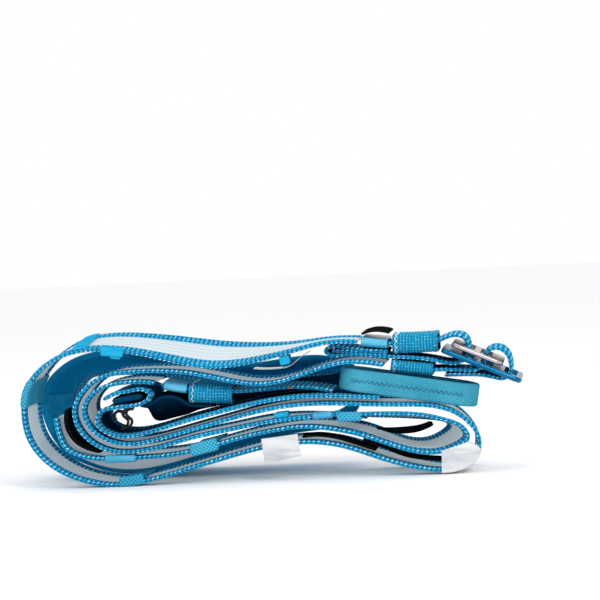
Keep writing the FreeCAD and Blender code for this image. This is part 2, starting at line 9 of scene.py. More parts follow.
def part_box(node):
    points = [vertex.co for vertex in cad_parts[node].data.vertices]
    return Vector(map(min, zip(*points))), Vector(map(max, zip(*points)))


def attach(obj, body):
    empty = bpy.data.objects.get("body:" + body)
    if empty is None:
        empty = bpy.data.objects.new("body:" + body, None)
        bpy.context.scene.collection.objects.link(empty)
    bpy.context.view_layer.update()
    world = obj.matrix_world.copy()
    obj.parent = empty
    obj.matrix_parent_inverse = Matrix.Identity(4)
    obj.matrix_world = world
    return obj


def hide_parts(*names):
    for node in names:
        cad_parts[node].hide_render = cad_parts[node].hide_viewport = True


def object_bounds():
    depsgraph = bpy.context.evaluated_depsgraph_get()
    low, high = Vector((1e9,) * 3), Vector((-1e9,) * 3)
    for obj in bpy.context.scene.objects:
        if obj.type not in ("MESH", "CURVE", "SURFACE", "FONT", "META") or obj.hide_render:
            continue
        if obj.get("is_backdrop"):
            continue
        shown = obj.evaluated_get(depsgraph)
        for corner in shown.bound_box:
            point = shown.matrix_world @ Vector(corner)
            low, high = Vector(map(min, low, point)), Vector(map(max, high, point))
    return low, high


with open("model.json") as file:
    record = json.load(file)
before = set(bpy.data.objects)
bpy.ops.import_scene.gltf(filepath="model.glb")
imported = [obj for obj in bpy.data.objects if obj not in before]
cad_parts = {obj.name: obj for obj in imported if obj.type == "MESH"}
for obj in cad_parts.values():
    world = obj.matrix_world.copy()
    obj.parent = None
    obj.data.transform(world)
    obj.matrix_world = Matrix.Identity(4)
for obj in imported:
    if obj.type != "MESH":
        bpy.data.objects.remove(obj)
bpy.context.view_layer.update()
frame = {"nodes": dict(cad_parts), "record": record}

# Folded webbing sit harness. Every strap follows a route in the XZ plane and has its width
# along Y, as in the CAD model. Routes are in millimetres, everything else is in metres.

MM = 0.001
RECORD = frame["record"]
SLOT_OF = {part["node"]: part["material_slot"] for part in RECORD["subparts"]}
BODY_OF = {node: body for body, nodes in RECORD["behaviour"]["bodies"].items() for node in nodes}
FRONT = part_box("waist_belt_edge_front")[0].y
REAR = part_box("waist_belt_edge_rear")[1].y
REST_Z = 0.05 * MM

# A point is (x, z) at the front edge, or (x, z, dx, dz) where the rear edge leans by dx, dz.
ROUTES = {
    "waist": [
        (40.5, 62.2), (26, 62.5), (10, 59.2, 0, 2), (-9, 55.2, 0, 6), (-26, 53.7, 0, 9),
        (-44.5, 57, 0, 8.5), (-64.5, 62, 0, 6), (-82, 64, 0, 4.5), (-97.5, 61.5, 0, 3),
        (-108.5, 55, 0, 1), (-115, 46), (-116.5, 36), (-115, 25), (-107.5, 13.5), (-96.5, 6),
        (-85, 2.0), (-74, 0.6), (-57.5, 2.6), (-39.5, 7), (-20, 12), (-1, 16), (16, 17), (33, 14.2),
        (48.5, 8.6), (64, 3.8), (76, 1.9, 0, -0.8), (86.5, 3.2, -1, -0.6), (93.8, 9, -2, 0),
        (94.8, 16, -3, 0), (91, 22.7, -3, 0), (84, 28.2, -2, 0), (73, 31.6), (59, 32.6), (41, 33.6),
        (24, 34.6), (11, 34.4), (-3, 32.8), (-21, 29), (-40.5, 24.4), (-56.5, 20.7), (-68, 19.5),
        (-78, 22), (-85.5, 28.2), (-88, 36.5), (-83.5, 43.6), (-75.5, 47.2), (-65, 48.2),
        (-54.5, 47.4)],
    "leg": [
        (-101.5, 33), (-100.5, 26), (-97.5, 19), (-90, 14.7), (-80, 13), (-62.5, 13), (-48.5, 13.6),
        (-33.5, 16), (-15, 20.3), (3, 23.4), (13, 24.2, 0, 0), (24, 23.2, 0, 0.6), (40, 19.5, -1, 2),
        (54, 14.4, -3, 2.5), (66, 10.7, -5, 2.5), (76, 10, -7, 3), (84.5, 12.2, -9, 3.5),
        (90, 16.4, -11, 2.5), (88.2, 20.6, -10, 0), (81, 24.6, -8, -2.5), (71, 27.4, -5, -4.5),
        (57, 28.9, -2, -5), (41, 29.3, 0, -4.4), (26, 29.4, 0, -3), (12, 28.6, 0, -1.2), (-4, 26.9),
        (-22, 24), (-39.5, 20.9), (-54.5, 17.3), (-66.5, 15.9), (-77, 17), (-85.5, 21.5), (-91, 28.5),
        (-92.5, 36), (-89.5, 43), (-84, 48.4), (-76, 51.9), (-64.5, 53), (-50.5, 52.7), (-36.5, 51),
        (-23, 47.8), (-10, 45.2), (2, 45.3), (14, 48.2), (25.5, 51.6), (37, 53.2), (47, 52.2),
        (52.5, 51.1)],
    "inner": [
        (50, 36.2), (38, 37.2), (24, 38.1), (9, 38), (-7, 36.2), (-26, 32.4), (-45.5, 27.8),
        (-58.5, 24.4), (-70, 23.2), (-78, 25.4), (-82, 30), (-80.5, 34.6), (-74.5, 36.6),
        (-66, 37.2), (-59, 39), (-56.5, 42), (-59.5, 44.5), (-65.5, 44.3), (-73.5, 43), (-78.5, 40.6)],
    "leg_strap": [
        (-52, 46.2), (-42, 44), (-29, 42.2), (-15, 41.4), (-2.5, 41.9), (9, 42.3), (19, 41.4),
        (28, 39.6)],
    "buckle_strap": [
        (42, 62.1), (49, 61.2), (57, 60.2), (67.5, 59.4), (76, 60.2), (81, 62.1), (86, 63.1),
        (90, 61.5), (91.4, 57.6), (90.7, 53.2), (87.5, 50.6), (83, 50.3), (77, 51.6), (69.5, 53.1),
        (57, 54.4), (46, 55.4), (33, 56.1), (27.2, 56.7), (25.4, 58.4), (27.6, 60.1), (35, 59.5),
        (46, 57.7), (54.5, 56.9)],
    "adjuster_strap": [
        (80, 44.9), (88, 44.8), (96, 44.3), (103, 42.8), (107.5, 42.3), (110.2, 44.8),
        (110.6, 49), (109.6, 52.8), (106.6, 55.7), (102.8, 56.2), (99.8, 54.6), (98.8, 51.4),
        (97.9, 48.8), (95.2, 47), (90, 46.8), (80.5, 47.4), (73, 47.7), (66, 48.7), (57, 50.2)],
    "lower_riser": [(13, 19.3), (21, 19.6), (31, 17.6), (39.5, 14.6), (47, 11.8)],
    "upper_riser": [(41, 16.8), (51, 13), (60, 8.9), (69, 7), (77, 6.2)],
    "gear_elastic": [(-96.5, 36.5), (-97, 28.5), (-93, 21.4), (-86.5, 17.6), (-81.5, 16.4)],
    "fold_lining": [(-74.5, 39.6), (-70, 40.3), (-65, 40.9), (-60.5, 41.4)],
    "tucked_tail": [(42.5, 65.5), (46.5, 66.7), (51, 66.7), (55.5, 65.6)],
    "film": [(-8, 52.1), (3, 51.6), (9, 52.6), (14.5, 56.6), (18.5, 58.8)],
    "waist_keeper": [(56, 60.2), (67, 60), (80, 60.3)],
    "leg_keeper": [(-42, 42.0), (-28, 40.8), (-14, 40), (0, 39.4)],
    "rear_keeper": [(48, 51.6), (55, 50.4), (66, 48.9), (74, 47.8), (82, 46.6)],
}

# Here a point is (x, z) at the strap's own front edge, and how far its rear edge stands from there.
LEANING = {
    "rear_loop": [
        (37.8, 42.5, -4.3, -5), (35.5, 47.3, -3.3, -6.3), (28, 51.5, -2, -8.9), (15, 53.6, 0, -11.6),
        (2, 52.6, 0, -12), (-18, 50.8, 0, -11), (-41.5, 53.8, 0, -11), (-62.5, 58.4, 0, -13),
        (-81, 60.3, 3, -13), (-95.5, 58.2, 7, -11), (-106, 52.8, 10, -6), (-113, 45, 12, -3),
        (-115, 36, 12, 0), (-113, 25.5, 11, 3), (-106.5, 14.8, 8, 4), (-95.5, 7.8, 3, 4),
        (-84.5, 4, 0, 3), (-74, 2.8, 0, 3), (-57.5, 4.5, 0, 3), (-39.5, 8.9, 0, 2.5),
        (-20, 13.9, 0, 2.5), (-1, 18, 0, 2.5), (12, 19.6, 0, 2.5), (22, 20.8, -1, 2.5),
        (31, 24.5, -2.5, 2), (36.5, 31, -3.5, -1), (38, 38.8, -4, -3.3)],
    "lining_strap": [
        (-60, 36.4, -0.5, -7), (-56.3, 38.4, -1, -11), (-52, 40.3, 0, -12), (-46.5, 40.2, 0, -10.7),
        (-43, 38.3, 0, -7.9), (-39.5, 36, 0, -4.2), (-34, 35.2, 0, -2.3), (-28.5, 35, 0, -1.1)],
    "cross_strap_front": [(47, 21, 0, 0), (58, 20.8, 0, -3), (66, 21.4, 0, -3), (73, 22.8, 0, -1.5)],
    "cross_strap_rear": [(59, 18.6, 0, -1), (65, 20, 0, -2.5), (71.5, 22, 0, -2)],
}

BAND_THICK = 1.8 * MM
PANEL_THICK = 0.45 * MM
WEBBING_THICK = 1.2 * MM
STRAP_THICK = 1.6 * MM
PATCH_THICK = 0.7 * MM
SEAM_GAP = 0.06 * MM
FINE = {"cell": 0.3 * MM, "step": 0.3 * MM}
FINEST = {"cell": 0.25 * MM, "step": 0.2 * MM}


# ---- routes

def spline_slopes(knots, values):
    """Slopes of the smooth cubic curve through the values, with parabola slopes at its ends."""
    count = len(knots)
    gaps = np.diff(knots)
    rises = np.diff(values, axis=0) / gaps[:, None]
    matrix = np.zeros((count, count))
    target = np.zeros_like(values)
    for i in range(1, count - 1):
        matrix[i, i - 1:i + 2] = gaps[i], 2 * (gaps[i - 1] + gaps[i]), gaps[i - 1]
        target[i] = 3 * (gaps[i] * rises[i - 1] + gaps[i - 1] * rises[i])
    matrix[0, 0] = matrix[-1, -1] = 1
    for end, near in ((0, 1), (-1, -2)):
        share = gaps[end] / (gaps[end] + gaps[near])
        target[end] = (1 + share) * rises[end] - share * rises[near]
    return np.linalg.solve(matrix, target)


class Route:
    """A strap's smooth line, measured by the distance along its front edge."""

    STEP = 0.15 * MM

    def __init__(self, points):
        table = np.array([tuple(p) + (0, 0) if len(p) == 2 else p for p in points], float) * MM
        steps = np.hypot(np.diff(table[:, 0]), np.diff(table[:, 1]))
        knots = np.concatenate([[0], np.cumsum(steps)])
        slopes = spline_slopes(knots, table)
        at = np.linspace(0, knots[-1], int(knots[-1] / self.STEP))
        first = np.clip(np.searchsorted(knots, at, side="right") - 1, 0, len(knots) - 2)
        gap = (knots[first + 1] - knots[first])[:, None]
        t = (at - knots[first])[:, None] / gap
        self.line = (table[first] * (1 + 2 * t) * (1 - t) ** 2 + slopes[first] * gap * t * (1 - t) ** 2
                     + table[first + 1] * t * t * (3 - 2 * t) - slopes[first + 1] * gap * t * t * (1 - t))
        lengths = np.hypot(np.diff(self.line[:, 0]), np.diff(self.line[:, 1]))
        self.along = np.concatenate([[0], np.cumsum(lengths)])
        self.slope = np.gradient(self.line, self.along, axis=0)
        self.length = self.along[-1]

    def near(self, x, z, depth=FRONT):
        """Distance along the route to its point nearest to x, z, given in millimetres."""
        share = (depth - FRONT) / (REAR - FRONT)
        line = self.line[:, :2] + self.line[:, 2:] * share
        return self.along[int(np.hypot(line[:, 0] - x * MM, line[:, 1] - z * MM).argmin())]

    def grid(self, along, depth, offset):
        """Points of a strap: along has one value per row, depth and offset one per column."""
        share = (depth - FRONT) / (REAR - FRONT)
        x, z, dx, dz = [np.interp(along, self.along, c)[:, None] for c in self.line.T]
        sx, sz, sdx, sdz = [np.interp(along, self.along, c)[:, None] for c in self.slope.T]
        run_x = sx + sdx * share
        run_z = sz + sdz * share
        run = np.hypot(run_x, run_z)
        px = x + dx * share - run_z / run * offset
        pz = z + dz * share + run_x / run * offset
        return np.stack([px, np.broadcast_to(depth, px.shape), pz], axis=-1)


def leaning_route(edges, first_node, last_node):
    """Route of a strap whose points are given at its own front edge."""
    first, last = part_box(first_node)[0].y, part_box(last_node)[1].y
    start = (first - FRONT) / (REAR - FRONT)
    width = (last - first) / (REAR - FRONT)
    return Route([(x - dx / width * start, z - dz / width * start, dx / width, dz / width)
                  for x, z, dx, dz in edges])


route = {name: Route(points) for name, points in ROUTES.items()}
for name, edges in LEANING.items():
    ends = ("rear_loop_webbing", "rear_loop_edge") if name == "rear_loop" else (name, name)
    route[name] = leaning_route(edges, *ends)


# ---- formulas for weaves
# The same formula works on arrays, to shape a surface, and on shader fields, to colour it.

class Field:
    """A value in a material's node tree."""

    def __init__(self, tree, socket):
        self.tree = tree
        self.socket = socket

    def step(self, operation, *values):
        node = self.tree.nodes.new("ShaderNodeMath")
        node.operation = operation
        for port, value in zip(node.inputs, values):
            if isinstance(value, Field):
                self.tree.links.new(value.socket, port)
            else:
                port.default_value = value
        return Field(self.tree, node.outputs[0])

    def __add__(self, other):
        return self.step("ADD", self, other)

    def __sub__(self, other):
        return self.step("SUBTRACT", self, other)

    def __mul__(self, other):
        return self.step("MULTIPLY", self, other)

    __radd__ = __add__
    __rmul__ = __mul__

    def __rsub__(self, other):
        return self.step("SUBTRACT", other, self)


def shared(operation, on_arrays):
    """A function that makes a node for fields and works numpy's way on arrays."""
    def run(*values):
        fields = [value for value in values if isinstance(value, Field)]
        return fields[0].step(operation, *values) if fields else on_arrays(*values)
    return run


sine = shared("SINE", np.sin)
size = shared("ABSOLUTE", np.abs)
fraction = shared("FRACT", lambda a: a - np.floor(a))
power = shared("POWER", np.power)
larger = shared("MAXIMUM", np.maximum)
smaller = shared("MINIMUM", np.minimum)


def limited(x):
    return smaller(larger(x, 0.0), 1.0)


def braid(u, v):
    """Slanted yarns in narrow rows that lean in turn: u counts yarns, v counts rows."""
    zigzag = size(fraction(v * 0.5) * 2 - 1)
    crown = size(sine((u + zigzag * 0.5) * math.pi))
    channel = size(sine(v * math.pi))
    return power(crown, 0.7) * power(channel, 0.4)


def ribs(u, v):
    """Ribs along the strap with faint cross threads."""
    return power(size(sine(v * math.pi)), 0.6) * (size(sine(u * math.pi)) * 0.2 + 0.8)


def plain(u, v):
    """Plain weave of two sets of threads."""
    return size(sine(u * math.pi)) * size(sine(v * math.pi))


def lattice(u, v):
    """Crossing diagonal ribs with hollow diamonds between them."""
    one = power(size(sine((u + v) * math.pi)), 5.0)
    other = power(size(sine((u - v) * math.pi)), 5.0)
    return larger(one, other)


def twill(u, v):
    """Fine crossing diagonals of tight webbing."""
    one = power(size(sine((u + v) * math.pi)), 2.0)
    other = power(size(sine((u - v) * math.pi)), 2.0)
    return one * 0.75 + other * 0.25


def dotted_rows(u, v):
    """Small pricked holes in rows: 1 between them, 0 in a hole."""
    hole = power(size(sine((u + 0.5) * math.pi)), 3.0) * power(size(sine(v * math.pi)), 40.0)
    return 1 - hole


# ---- materials

def colour(code):
    """Linear colour from a code such as 1b8fc4."""
    channels = [int(code[i:i + 2], 16) / 255 for i in (0, 2, 4)]
    return tuple(c / 12.92 if c <= 0.04045 else ((c + 0.055) / 1.055) ** 2.4 for c in channels) + (1.0,)


class Finish:
    """A material made of nodes, with short names for what every finish here needs."""

    def __init__(self, name, roughness=0.5, **inputs):
        self.material = bpy.data.materials.new(name)
        self.material.use_nodes = True
        self.tree = self.material.node_tree
        self.shader = self.tree.nodes["Principled BSDF"]
        self.shader.inputs["Roughness"].default_value = roughness
        for label, value in inputs.items():
            self.shader.inputs[label.replace("_", " ")].default_value = value

    def add_node(self, kind, sources=(), **inputs):
        """A new node, its first inputs linked to the sources in order and others set by name."""
        node = self.tree.nodes.new("ShaderNode" + kind)
        for source, port in zip(sources, node.inputs):
            self.tree.links.new(source, port)
        for label, value in inputs.items():
            node.inputs[label].default_value = value
        return node

    def weave_place(self):
        """The mesh's own weave coordinates: u along the strap, v round it."""
        place = self.add_node("UVMap")
        place.uv_map = "weave"
        parts = self.add_node("SeparateXYZ", [place.outputs[0]])
        return Field(self.tree, parts.outputs[0]), Field(self.tree, parts.outputs[1])

    def noise(self, scale, detail=2.0, stretch=(1.0, 1.0, 1.0)):
        """Soft random value from 0 to 1, fixed to the object. Scale is per metre."""
        place = self.add_node("TexCoord")
        mapping = self.add_node("Mapping", [place.outputs["Object"]], Scale=stretch)
        node = self.add_node("TexNoise", [mapping.outputs[0]], Scale=scale, Detail=detail)
        return Field(self.tree, node.outputs[0])

    def yarn_noise(self, u, v, scale):
        """Random value that changes from yarn to yarn."""
        join = self.add_node("CombineXYZ", [u.socket, v.socket])
        node = self.add_node("TexNoise", [join.outputs[0]], Scale=scale, Detail=1.0)
        return Field(self.tree, node.outputs[0])

    def mix(self, share, low, high):
        """Colour between low and high, each a colour or an earlier mix."""
        node = self.tree.nodes.new("ShaderNodeMix")
        node.data_type = "RGBA"
        self.tree.links.new(share.socket, node.inputs[0])
        for port, value in ((node.inputs[6], low), (node.inputs[7], high)):
            if isinstance(value, tuple):
                port.default_value = value
            else:
                self.tree.links.new(value, port)
        return node.outputs[2]

    def finish(self, paint, height=None, depth=0.0, roughness=None):
        self.tree.links.new(paint, self.shader.inputs["Base Color"])
        if roughness is not None:
            self.tree.links.new(roughness.socket, self.shader.inputs["Roughness"])
        if height is not None:
            bump = self.add_node("Bump", Strength=1.0, Distance=depth)
            self.tree.links.new(height.socket, bump.inputs["Height"])
            self.tree.links.new(bump.outputs[0], self.shader.inputs["Normal"])
        return self.material


CLOTH_SPECULAR = 0.0
CLOTH_ROUGHNESS = 0.5


def woven(name, formula, deep, bright, glint, dashes=0.0, bump=0.12 * MM):
    """Woven yarn: painted shade makes it dark between yarns, and it is bright on them. A higher dashes makes
    more yarns in every second row pale with painted glints, and 0 makes none."""
    look = Finish(name, CLOTH_ROUGHNESS, Specular_IOR_Level=CLOTH_SPECULAR)
    u, v = look.weave_place()
    height = formula(u, v)
    fibre = look.noise(2600.0, 1.0)
    cloudy = look.noise(45.0, 2.0)
    # Colour from the yarn height is painted shade between the yarns; the two noises add random tone.
    lit = limited(height * 0.9 + (cloudy - 0.5) * 0.7 + (fibre - 0.5) * 0.5)
    paint = look.mix(lit, colour(deep), colour(bright))
    shine = limited(1.0 - height)
    if dashes:
        # The pale yarns are painted glints: lamp highlights painted on the yarn crowns, stronger in every
        # second row.
        random = look.yarn_noise(u, v, 1.7)
        one_row = limited((0.5 - fraction(v * 0.5)) * 30)
        pale = limited((height * 1.3 + random * 1.4 - 2.05 + dashes) * 4.0) * (one_row * 0.75 + 0.25)
        paint = look.mix(pale, paint, colour(glint))
        shine = limited(shine + 0.1 - pale * 0.3)
    return look.finish(paint, height + fibre * 0.3, bump, limited(shine * 0.3 + (CLOTH_ROUGHNESS - 0.1)))


def mesh_fabric(name, light, dark, hole, through=0.0):
    """Thin mesh with rows of pricked holes. through is a glow, for the light that comes through it."""
    look = Finish(name, 0.65, Specular_IOR_Level=CLOTH_SPECULAR)
    look.shader.inputs["Emission Color"].default_value = colour(light)
    look.shader.inputs["Emission Strength"].default_value = through
    u, v = look.weave_place()
    fine = look.yarn_noise(u, v, 3.0)
    threads = plain(u * 2.0, v * 12.0)
    cloudy = look.noise(30.0, 2.0)
    lit = limited(threads * 0.35 + fine * 0.25 + cloudy * 0.4)
    body = look.mix(lit, colour(dark), colour(light))
    dots = dotted_rows(u, v)
    paint = look.mix(limited((1 - dots) * 1.5), body, colour(hole))
    return look.finish(paint, threads * 0.3 + dots, 0.12 * MM)


def smooth_cloth(name, deep, bright, roughness=0.5, coat=0.0):
    """Smooth tape or coated sleeve with soft lengthwise folds and creases."""
    look = Finish(name, roughness, Coat_Weight=coat, Coat_Roughness=0.3, Specular_IOR_Level=coat)
    u, v = look.weave_place()
    folds = look.noise(160.0, 3.0, (0.25, 1.0, 1.6))
    threads = plain(u * 3.0, v * 3.0)
    creases = look.noise(700.0, 2.0, (0.12, 1.0, 1.0))
    # The folds and creases are painted into the colour as shade and highlight, besides bumping the surface.
    lit = limited(folds * 1.5 - 0.35 + threads * 0.1 + (creases - 0.5) * 0.9)
    paint = look.mix(lit, colour(deep), colour(bright))
    return look.finish(paint, folds + creases * 0.35 + threads * 0.1, 0.25 * MM)


def film_look():
    """Dark film with a pale front rim."""
    look = Finish("edge_film", 0.2, Coat_Weight=0.5)
    u, v = look.weave_place()
    turn = size(fraction(v * 0.5 + 0.5) * 2 - 1)
    rim = limited((0.045 - turn) * 60)
    cloudy = look.noise(120.0, 2.0)
    body = look.mix(cloudy, colour("0b1826"), colour("17324a"))
    return look.finish(look.mix(rim, body, colour("dfe8ec")), cloudy, 0.05 * MM)


def anodised(name, deep, bright, roughness):
    """Anodised aluminium plate with a fine brushed grain."""
    look = Finish(name, roughness, Metallic=1.0)
    grain = look.noise(900.0, 3.0, (0.06, 1.0, 1.0))
    cloudy = look.noise(70.0, 2.0)
    paint = look.mix(limited(grain * 0.5 + cloudy * 0.5), colour(deep), colour(bright))
    return look.finish(paint, grain, 0.02 * MM, limited(grain * 0.2 + (roughness - 0.08)))


def moulded(name, deep, bright, roughness):
    look = Finish(name, roughness)
    grain = look.noise(1500.0, 2.0)
    return look.finish(look.mix(grain, colour(deep), colour(bright)), grain, 0.03 * MM)


LOOKS = {
    "edge_webbing": woven("braided_webbing", braid, "025a86", "139fd0", "c4eef4", 0.3),
    "mesh_panel": mesh_fabric("grey_mesh", "c0c9cd", "9fabb1", "3f8298", 0.35),
    "ribbed_webbing": woven("ribbed_webbing", ribs, "056a9e", "14a4da", "2f9ed2", 0.0, 0.2 * MM),
    "smooth_patch": smooth_cloth("bright_tape", "0587b8", "35b4de"),
    "sleeve": smooth_cloth("coated_sleeve", "0b84b0", "58c0de", 0.25, 0.5),
    "elastic": woven("ribbed_elastic", braid, "04648c", "1a9cc6", "a8dfee", 0.2),
    "black_strap": woven("black_webbing", plain, "07080a", "1c1e21", "3a3e44"),
    "black_elastic": woven("black_braid", braid, "07080a", "191b1f", "c9ccd0", -0.1),
    "patch": woven("crosshatched_patch", lattice, "0a7ba6", "58bcd8", "b8e8f3", 0.0, 0.2 * MM),
    "label": smooth_cloth("satin_label", "b2b5ba", "dfe1e4", 0.4, 0.15),
    "loop_webbing": woven("twill_webbing", twill, "056482", "5cc0d8", "c2ebf2", 0.0, 0.2 * MM),
    "frame_metal": anodised("blue_anodised", "0a4468", "1c7fae", 0.25),
    "slider_metal": anodised("pale_anodised", "8f8488", "d3c6c6", 0.3),
    "hook_plastic": moulded("black_plastic", "0a0b0d", "1d1f22", 0.4),
    "film": film_look(),
    "wear_thread": moulded("red_thread", "7d1c12", "c23a26", 0.7),
}
# The ribbed webbing's blue painted much darker: painted shade for inner faces that lie in shadow.
SHADED_NAVY = woven("navy_lining_painted_shade", ribs, "05233a", "0d4c70", "2f6ea0", 0.0, 0.15 * MM)
THREAD = moulded("sewing_thread", "0b6d9f", "1c94c6", 0.5)
PALE_THREAD = moulded("pale_thread", "a9cfdc", "e0f1f6", 0.5)
DARK_THREAD = moulded("dark_thread", "07486b", "0b6a94", 0.55)


# ---- meshes

def add_object(name, data):
    piece = bpy.data.objects.new(name, data)
    bpy.context.scene.collection.objects.link(piece)
    return piece


class Skin:
    """Collects grids of points into one closed mesh that carries its weave coordinates."""

    def __init__(self):
        self.points = []
        self.faces = []
        self.places = []
        self.count = 0

    def add_points(self, points):
        first = self.count
        self.points.append(np.asarray(points, float).reshape(-1, 3))
        self.count += len(self.points[-1])
        return first

    def add_face(self, corners, places):
        self.faces.append(tuple(int(c) for c in corners))
        self.places.extend(places)

    def add_grid(self, points, u, v, wrap=True, flip=False):
        """Rows and columns of points. v has one more value than there are columns if it wraps."""
        rows, columns = points.shape[:2]
        first = self.add_points(points)
        across = columns if wrap else columns - 1
        i, j = np.meshgrid(np.arange(rows - 1), np.arange(across), indexing="ij")
        i, j = i.ravel(), j.ravel()
        after = (j + 1) % columns
        corners = np.stack([i * columns + j, i * columns + after,
                            (i + 1) * columns + after, (i + 1) * columns + j], axis=1) + first
        places = np.stack([np.stack([u[i + a], v[j + b]], 1)
                           for a, b in ((0, 0), (0, 1), (1, 1), (1, 0))], axis=1)
        if flip:
            corners, places = corners[:, ::-1], places[:, ::-1]
        self.faces.extend(map(tuple, corners.tolist()))
        self.places.extend(places.reshape(-1, 2).tolist())
        return first

    def add_cap(self, first, columns, centre, place, flip):
        """Closes a ring of points with a fan."""
        middle = self.add_points([centre])
        for j in range(columns):
            corners = [first + j, middle, first + (j + 1) % columns]
            self.add_face(corners[::-1] if flip else corners, [place] * 3)

    def add_rim(self, first, columns, place, flip):
        """Closes a flattened ring of points with quads between its two faces."""
        for j in range(columns // 2 - 1):
            corners = [first + j, first + columns - 1 - j, first + columns - 2 - j, first + j + 1]
            self.add_face(corners[::-1] if flip else corners, [place] * 4)

    def add_tube(self, grid, u, v):
        """A closed tube with capped ends."""
        columns = grid.shape[1]
        first = self.add_grid(grid, u, v)
        last = first + (grid.shape[0] - 1) * columns
        self.add_cap(first, columns, grid[0].mean(axis=0), (u[0], v[0]), False)
        self.add_cap(last, columns, grid[-1].mean(axis=0), (u[-1], v[0]), True)

    def add_walls(self, outer, inner, u, v):
        """A hollow tube: outer and inner grids joined at both ends."""
        columns = outer.shape[1]
        first = self.add_grid(outer, u, v)
        second = self.add_grid(inner, u, v, flip=True)
        step = (outer.shape[0] - 1) * columns
        for j in range(columns):
            after = (j + 1) % columns
            ends = [(u[0], v[j]), (u[0], v[j + 1])]
            self.add_face([first + j, second + j, second + after, first + after],
                          [ends[0], ends[0], ends[1], ends[1]])
            ends = [(u[-1], v[j]), (u[-1], v[j + 1])]
            self.add_face([first + step + j, first + step + after, second + step + after, second + step + j],
                          [ends[0], ends[1], ends[1], ends[0]])

    def add_thread(self, path, radius, sides=6):
        """A round thread along a path, with domed ends."""
        path = np.asarray(path, float)
        runs = np.gradient(path, axis=0)
        runs /= np.linalg.norm(runs, axis=1)[:, None]
        side = np.cross(runs, (0.31, 0.87, 0.38))
        side /= np.linalg.norm(side, axis=1)[:, None]
        up = np.cross(side, runs)
        turn = np.arange(sides) * math.tau / sides
        around = side[:, None] * np.cos(turn)[None, :, None] + up[:, None] * np.sin(turn)[None, :, None]
        width = np.full(len(path), radius)
        width[[0, -1]] = radius * 0.45
        self.add_tube(path[:, None] + around * width[:, None, None], np.arange(len(path)) * 1.0,
                      np.arange(sides + 1) * 1.0)

    def build(self, name, material):
        mesh = bpy.data.meshes.new(name)
        mesh.from_pydata(np.concatenate(self.points).tolist(), [], self.faces)
        layer = mesh.uv_layers.new(name="weave")
        layer.data.foreach_set("uv", np.asarray(self.places, np.float32).ravel())
        mesh.polygons.foreach_set("use_smooth", [True] * len(mesh.polygons))
        mesh.materials.append(material)
        mesh.update()
        return add_object(name, mesh)


def stands_for(piece, node):
    """The piece replaces a CAD node: it moves with its body and the node is hidden."""
    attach(piece, BODY_OF[node])
    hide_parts(node)
    return piece


def goes_with(piece, node):
    """A detail that moves with a node's body."""
    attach(piece, BODY_OF[node])
    return piece


def outline(depth, thick, cell, corner=None):
    """Cross-section with round corners, from the middle of its front edge upwards: depth, height,
    outward direction, and the distance round it."""
    radius = min(corner or thick / 2, thick / 2)
    low, high, top = depth[0] + radius, depth[1] - radius, thick / 2 - radius
    arc = max(2, int(math.pi / 2 * radius / cell) + 1)
    wide = max(2, int((high - low) / cell))
    tall = max(1, int(top / cell)) if top > 0 else 0
    centres, angles = [], []

    def side(start, stop, count, first_angle, last_angle):
        share = np.linspace(0, 1, count, endpoint=False)
        centres.append(np.outer(1 - share, start) + np.outer(share, stop))
        angles.append(first_angle + (last_angle - first_angle) * share)

    half = math.pi / 2
    side((low, 0), (low, top), tall, math.pi, math.pi)
    side((low, top), (low, top), arc, math.pi, half)
    side((low, top), (high, top), wide, half, half)
    side((high, top), (high, top), arc, half, 0)
    side((high, top), (high, -top), 2 * tall, 0, 0)
    side((high, -top), (high, -top), arc, 0, -half)
    side((high, -top), (low, -top), wide, -half, -half)
    side((low, -top), (low, -top), arc, -half, -math.pi)
    side((low, -top), (low, 0), tall, -math.pi, -math.pi)
    centre, angle = np.concatenate(centres), np.concatenate(angles)
    out_y, out_w = np.cos(angle), np.sin(angle)
    y, w = centre[:, 0] + radius * out_y, centre[:, 1] + radius * out_w
    gaps = np.hypot(np.roll(y, -1) - y, np.roll(w, -1) - w)
    return y, w, out_y, out_w, np.concatenate([[0], np.cumsum(gaps)])


def strap_grid(path, span, depth, thick, yarn, formula=None, relief=0.0, offset=0.0, cell=0.45 * MM,
               step=0.5 * MM, rounded_ends=True, wave=0.0, floor=None, corner=None):
    """Grid of a strap's skin with its weave coordinates. yarn is the size of one yarn along and across."""
    y, w, out_y, out_w, round_it = outline(depth, thick, cell, corner)
    start, stop = span or (0.0, path.length)
    rows = max(7, int((stop - start) / step) + 1)
    along = np.linspace(start, stop, rows)
    taper = np.ones(rows)
    if rounded_ends:
        radius = corner or thick / 2
        to_end = np.minimum(along - start, stop - along) / radius
        dome = np.sqrt(np.clip(1 - (1 - np.clip(to_end, 0, 1)) ** 2, 0.1, 1))
        taper = 1 - (1 - dome) * radius / (thick / 2)
    u = along / yarn[0]
    pairs = max(1, round(round_it[-1] / (2 * yarn[1])))
    v = round_it / round_it[-1] * 2 * pairs
    lift = np.zeros((rows, len(y)))
    if formula is not None:
        lift = (formula(u[:, None], v[None, :-1]) - 0.5) * relief
    if wave:
        swing = np.sin(along / (9 * MM)) * 0.6 + np.sin(along / (3.7 * MM) + 1.3) * 0.4
        offset = offset + wave * swing[:, None] * np.sin((y - depth[0]) / (depth[1] - depth[0]) * math.pi)
    grid = path.grid(along, y + lift * out_y, offset + (w + lift * out_w) * taper[:, None])
    if floor is not None:
        grid[..., 2] = np.maximum(grid[..., 2], floor)
    return grid, u, v


def band(name, material, *shape, **more):
    """A closed strap that isn't on a body yet. shape and more are what strap_grid takes."""
    skin = Skin()
    skin.add_tube(*strap_grid(*shape, **more))
    return skin.build(name, material)


